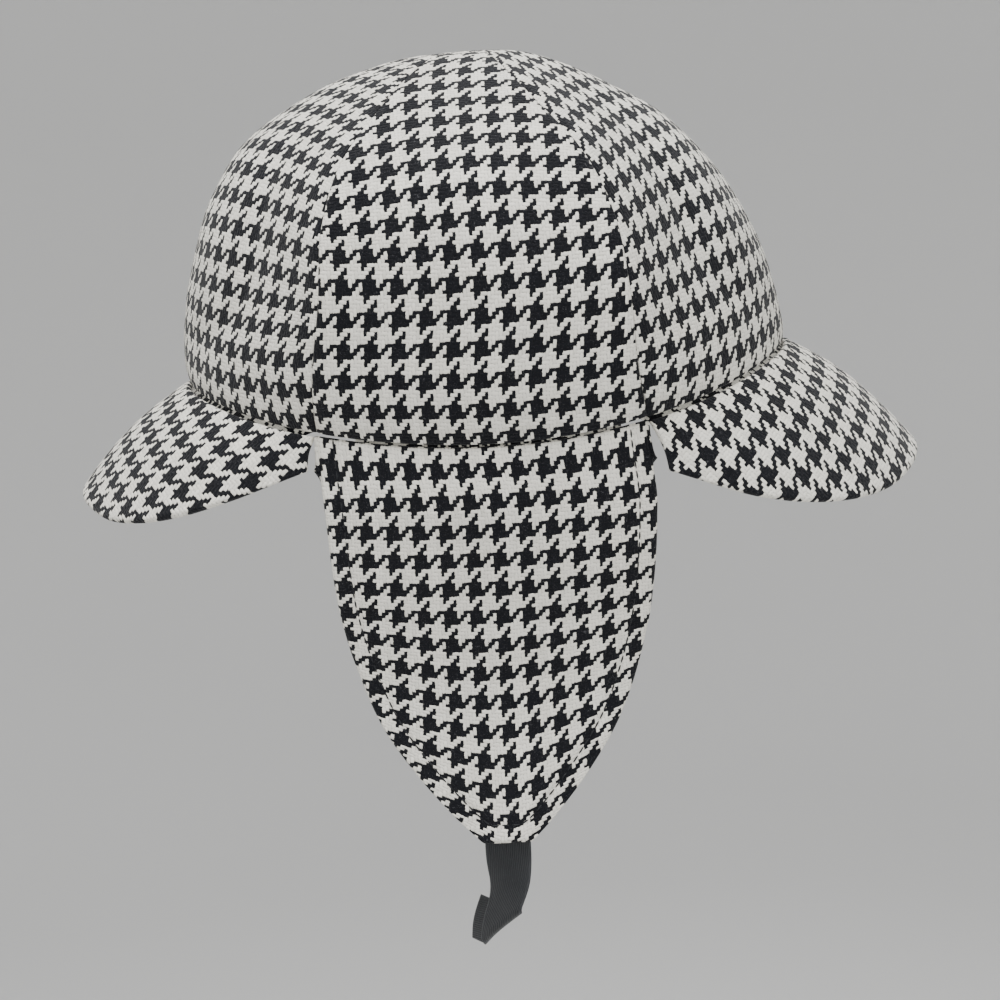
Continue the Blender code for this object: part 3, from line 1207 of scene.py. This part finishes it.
@dataclass(frozen=True)
class HoundstoothWool:
    """Coarse wool twill, over two and under two, with four dark and four light threads each way."""

    light: Colour = (0.80, 0.775, 0.70, 1)
    dark: Colour = (0.0055, 0.0060, 0.0085, 1)
    pale_hair: Colour = (0.20, 0.20, 0.21, 1)
    dark_hair: Colour = (0.30, 0.29, 0.27, 1)
    threads: int = 4
    drift: float = 0.5
    drift_scale: float = 110.0
    fuzz: float = 0.55
    fuzz_scale: float = 1500.0
    crimp: float = 0.5
    roundness: float = 0.5
    blur: float = 0.10
    # share of the colour taken away as painted shade in the crevices between the threads
    crevice_shade: float = 0.50
    thread_height: float = 0.00026
    roughness: float = 0.92
    sheen: float = 0.10
    sheen_roughness: float = 0.5
    gloss: float = 0.15

    def material(self) -> bpy.types.Material:
        """The wool's material."""
        kit = NodeKit("houndstooth_wool")
        place = kit.object_place()
        columns, rows = kit.pattern_place()
        drift_x, drift_y, _ = kit.split(kit.noise(place, self.drift_scale).outputs[1])
        fuzz_x, fuzz_y, _ = kit.split(kit.noise(place, self.fuzz_scale, 2.0).outputs[1])
        count = 2 * self.threads
        x = columns * count + (drift_x - 0.5) * self.drift + (fuzz_x - 0.5) * self.fuzz
        y = rows * count + (drift_y - 0.5) * self.drift + (fuzz_y - 0.5) * self.fuzz
        warp, weft = x.whole(), y.whole()
        warp_side, weft_side = x - warp, y - weft
        warp_bulge = (((y - warp + 2.0) % 4.0 - 1.0) * QUARTER_TURN).math("COSINE")
        weft_bulge = (((x - weft + 2.0) % 4.0 - 2.0) * QUARTER_TURN).math("COSINE")
        warp_height = warp_bulge * self.crimp + self.rounded(warp_side) * self.roundness
        weft_height = weft_bulge * self.crimp + self.rounded(weft_side) * self.roundness
        warp_on_top = (warp_height - weft_height).smooth(-self.blur, self.blur)
        height = warp_height.math("MAXIMUM", weft_height)
        warp_dark = warp % float(count) < float(self.threads)
        weft_dark = weft % float(count) < float(self.threads)
        darkness = weft_dark.toward(warp_dark, warp_on_top)
        tone = kit.chance(weft + 500.5).toward(kit.chance(warp + 0.5), warp_on_top)
        warp_fibre = kit.lumps(kit.vector(warp_side * 4.0 + y * 0.7, y * 0.8, warp), 1.0, 2.0)
        weft_fibre = kit.lumps(kit.vector(weft_side * 4.0 + x * 0.7, x * 0.8, weft + 50.0), 1.0, 2.0)
        fibre = weft_fibre.toward(warp_fibre, warp_on_top)
        patches = kit.lumps(place, 60.0, 2.0)
        hairs = Shade(kit, kit.noise(place, 900.0, 3.0, 3.0).outputs[0])
        pale_hairs = hairs.smooth(0.60, 0.72) * 0.30
        dark_hairs = (1.0 - hairs).smooth(0.62, 0.74) * 0.35
        light = kit.blend(dark_hairs, self.light, self.dark_hair)
        dark = kit.blend(pale_hairs, self.dark, self.pale_hair)
        colour = kit.blend(darkness, light, dark)
        # painted shade: the colour is darkened where the weave lies low between the threads, as if shaded there
        groove = height.smooth(-0.05, 0.60) * self.crevice_shade + (1.0 - self.crevice_shade)
        # thread tone, fibres and patches are the wool's own colour; the groove factor is painted shade
        tone_and_painted_shade = (tone * 0.16 + fibre * 0.40 + patches * 0.16 + 1.0) * groove
        bumps = height + fibre * 0.35
        kit.fill(kit.shader, {
            "Base Color": kit.brighten(colour, tone_and_painted_shade),
            "Normal": kit.relief(bumps, self.thread_height, 1.0),
            "Roughness": self.roughness,
            "Sheen Weight": self.sheen,
            "Sheen Roughness": self.sheen_roughness,
            "Specular IOR Level": self.gloss,
        })
        return kit.material

    @staticmethod
    def rounded(side: Shade) -> Shade:
        """The round back of a thread, by the share of the way across it."""
        return (side - 0.5) * (0.5 - side) * 4.0 + 1.0


@dataclass(frozen=True)
class RibbedRibbon:
    """Black ribbon with fine ribs and a plain woven edge."""

    colour: Colour = (0.010, 0.012, 0.015, 1)
    # paler grey laid on the rib crests
    crest_colour: Colour = (0.050, 0.052, 0.056, 1)
    rib_height: float = 0.00012
    slant: float = 0.10
    edge_ribs: float = 9.4
    roughness: float = 0.52
    sheen: float = 0.15
    gloss: float = 0.4

    def material(self) -> bpy.types.Material:
        """The ribbon's material."""
        kit = NodeKit("ribbed_ribbon")
        place = kit.object_place()
        across, along = kit.pattern_place()
        slanted = across + along * self.slant + kit.lumps(place, 160.0) * 0.4
        ribs = (slanted * (2 * math.pi)).math("COSINE") * 0.5 + 0.5
        weft = (along * (4 * math.pi) + slanted.whole() * 2.0).math("COSINE") * 0.5 + 0.5
        edge = across.math("ABSOLUTE").smooth(self.edge_ribs, self.edge_ribs + 0.6)
        body = ribs * (weft * 0.35 + 0.65)
        height = body.toward(weft * 0.5 + 0.5, edge)
        fibre = kit.lumps(kit.vector(across * 3.0, along * 0.6), 1.0, 3.0)
        # paler grey on the rib crests and raised fibres
        crest_share = (height + fibre * 0.8).smooth(0.75, 1.15) * 0.5
        kit.fill(kit.shader, {
            # painted shade and light: the colour is scaled by the rib height, darker in the valleys between ribs and
            # brighter on their crests
            "Base Color": kit.brighten(kit.blend(crest_share, self.colour, self.crest_colour), height * 0.7 + 0.45),
            "Normal": kit.relief(height + fibre * 0.3, self.rib_height, 0.9),
            "Roughness": self.roughness,
            "Sheen Weight": self.sheen,
            "Specular IOR Level": self.gloss,
        })
        return kit.material


@dataclass(frozen=True)
class SewingThread:
    """Dark sewing thread."""

    colour: Colour = (0.010, 0.011, 0.014, 1)
    fuzz: Colour = (0.060, 0.060, 0.065, 1)
    roughness: float = 0.6

    def material(self) -> bpy.types.Material:
        """The thread's material."""
        kit = NodeKit("sewing_thread")
        place = kit.object_place()
        strands = kit.lumps(place, 4200.0, 2.0)
        kit.fill(kit.shader, {
            "Base Color": kit.blend(strands.smooth(0.0, 0.3), self.colour, self.fuzz),
            "Normal": kit.relief(strands, 0.00010, 0.8),
            "Roughness": self.roughness,
            "Specular IOR Level": 0.3,
        })
        return kit.material


@dataclass
class Studio:
    """A round pale studio: its floor runs up into the wall, far from the hat, with large soft lights."""

    floor_level: float = -1.30
    radius: float = 4.5
    corner: float = 1.6
    wall_height: float = 5.5
    colour: Colour = (0.62, 0.62, 0.615, 1)
    sky: Colour = (1.0, 1.0, 1.0, 1)
    sky_strength: float = 1.0
    camera_distance: float = 0.650
    camera_pitch: float = math.radians(9)
    camera_roll: float = math.radians(-2.83)
    camera_target: Vector = field(default_factory=lambda: Vector((0.0, 0.0023, -0.0512)))
    camera_lens: float = 65.59

    def backdrop(self) -> bpy.types.Object:
        """The floor and wall, turned from one profile."""
        bm = bmesh.new()
        profile = [Vector((0, 0, self.floor_level)), Vector((self.radius - self.corner, 0, self.floor_level))]
        for step in range(1, 13):
            angle = QUARTER_TURN * step / 12
            out = self.radius - self.corner + self.corner * math.sin(angle)
            profile.append(Vector((out, 0, self.floor_level + self.corner * (1 - math.cos(angle)))))
        profile.append(Vector((self.radius, 0, self.floor_level + self.wall_height)))
        verts = [bm.verts.new(point) for point in profile]
        edges = [bm.edges.new(pair) for pair in zip(verts, verts[1:])]
        bmesh.ops.spin(
            bm, geom=verts + edges, cent=(0, 0, 0), axis=(0, 0, 1), angle=2 * math.pi, steps=72, use_merge=True
        )
        bmesh.ops.remove_doubles(bm, verts=bm.verts[:], dist=MM)
        bmesh.ops.recalc_face_normals(bm, faces=bm.faces[:])
        bmesh.ops.reverse_faces(bm, faces=bm.faces[:])
        backdrop = finished_object("backdrop", bm)
        kit = NodeKit("backdrop_paint")
        tone = kit.lumps(kit.object_place(), 1.5) * 0.03 + 1.0
        paint = kit.blend(0.0, self.colour, self.colour)
        kit.fill(kit.shader, {"Base Color": kit.brighten(paint, tone), "Roughness": 0.95, "Specular IOR Level": 0.1})
        backdrop.data.materials.append(kit.material)
        return backdrop

    def light(self, name: str, place: Vector, size: float, power: float) -> None:
        """One square soft light, aimed at the hat."""
        data = bpy.data.lights.new(name, "AREA")
        data.size = size
        data.energy = power
        lamp = bpy.data.objects.new(name, data)
        bpy.context.scene.collection.objects.link(lamp)
        lamp.location = place
        lamp.rotation_euler = (self.camera_target - place).to_track_quat("-Z", "Y").to_euler()

    def camera(self) -> None:
        """The camera at the photo's angle."""
        data = bpy.data.cameras.new("camera")
        data.lens = self.camera_lens
        data.clip_start = 0.01
        camera = bpy.data.objects.new("camera", data)
        bpy.context.scene.collection.objects.link(camera)
        back = Vector((math.cos(self.camera_pitch), 0, math.sin(self.camera_pitch)))
        camera.location = self.camera_target + back * self.camera_distance
        looking = (-back).to_track_quat("-Z", "Y").to_matrix() @ Matrix.Rotation(self.camera_roll, 3, "Z")
        camera.rotation_euler = looking.to_euler()
        bpy.context.scene.camera = camera

    def build(self) -> None:
        """Sets up the backdrop, the sky, the lights and the camera."""
        self.camera()
        self.backdrop()
        world = bpy.data.worlds.new("studio")
        world.use_nodes = True
        sky = world.node_tree.nodes["Background"]
        sky.inputs["Color"].default_value = self.sky
        sky.inputs["Strength"].default_value = self.sky_strength
        bpy.context.scene.world = world
        self.light("overhead", Vector((0.5, -0.5, 2.0)), 1.8, 70.0)
        self.light("front_fill", Vector((2.2, 0.6, 0.5)), 1.6, 30.0)
        self.light("back_fill", Vector((-2.0, 0.8, 1.0)), 1.6, 18.0)


def main() -> None:
    """Builds the studio and the hat, piece by piece."""
    logging.basicConfig(level=logging.INFO, format="%(name)s: %(message)s")
    Studio().build()
    wool = HoundstoothWool().material()
    ribbon = RibbedRibbon().material()
    thread = SewingThread().material()
    form = CrownForm()
    Crown(form).build(wool)
    Peak(End.FRONT, form, FRONT_PEAK_ROWS).build(wool)
    Peak(End.REAR, form, REAR_PEAK_ROWS).build(wool)
    for side in Side:
        flap = EarFlap(side, form)
        flap.build(wool, thread)
        Tie(flap).build(ribbon)


if __name__ == "__main__":
    main()
